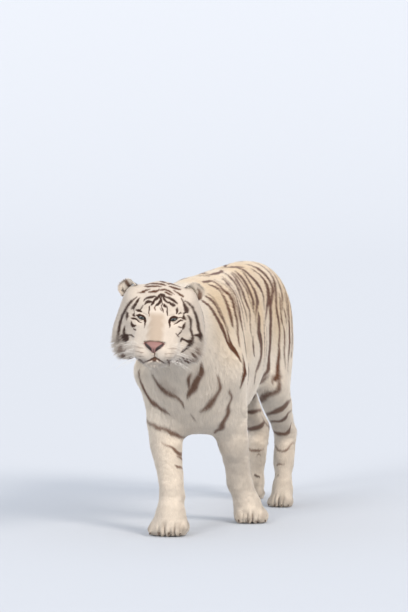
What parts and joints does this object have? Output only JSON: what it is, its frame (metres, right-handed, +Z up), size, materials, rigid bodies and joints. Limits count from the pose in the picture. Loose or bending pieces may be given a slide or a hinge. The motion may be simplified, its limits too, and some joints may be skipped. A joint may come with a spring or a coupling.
{
  "type": "white tiger museum model",
  "caption": "Life-size still model of an adult white tiger walking on four paws, head raised and turned to its left, mouth closed, tail hanging behind.",
  "frame": {"origin": "middle of the bounding box on the floor that the soles stand on", "axes": "+Z up; the animal faces -Y, so its length runs along Y; +X towards its left side"},
  "size_m": [0.4488, 1.9642, 0.9972],
  "materials": {
    "coat_white": "matt white fur with brown-black stripes",
    "coat_cream": "matt warm cream fur with brown stripes",
    "nose_leather": "bare pink skin, slightly moist",
    "eye": "wet glossy eyeball with a pale blue iris",
    "claw_horn": "smooth dull horn"
  },
  "bodies": {
    "root": {"neck": "coat_cream", "shoulder_left": "coat_white", "shoulder_right": "coat_white", "thigh_left": "coat_white", "thigh_right": "coat_white", "rump": "coat_cream", "belly": "coat_cream", "chest": "coat_cream", "forearm_left": "coat_white", "forepaw_left": "coat_white", "claw_fore_left_1": "claw_horn", "claw_fore_left_2": "claw_horn", "claw_fore_left_3": "claw_horn", "claw_fore_left_4": "claw_horn", "shank_left": "coat_white", "hind_foot_left": "coat_white", "hindpaw_left": "coat_white", "claw_hind_left_1": "claw_horn", "claw_hind_left_2": "claw_horn", "claw_hind_left_3": "claw_horn", "claw_hind_left_4": "claw_horn", "forearm_right": "coat_white", "forepaw_right": "coat_white", "claw_fore_right_1": "claw_horn", "claw_fore_right_2": "claw_horn", "claw_fore_right_3": "claw_horn", "claw_fore_right_4": "claw_horn", "shank_right": "coat_white", "hind_foot_right": "coat_white", "hindpaw_right": "coat_white", "claw_hind_right_1": "claw_horn", "claw_hind_right_2": "claw_horn", "claw_hind_right_3": "claw_horn", "claw_hind_right_4": "claw_horn", "tail_base": "coat_white", "tail_middle": "coat_white", "tail_tip": "coat_white", "eye_left": "eye", "ear_left": "coat_white", "eye_right": "eye", "ear_right": "coat_white", "nose": "nose_leather", "lower_jaw": "coat_white", "head": "coat_white"}
  },
  "joints": []
}
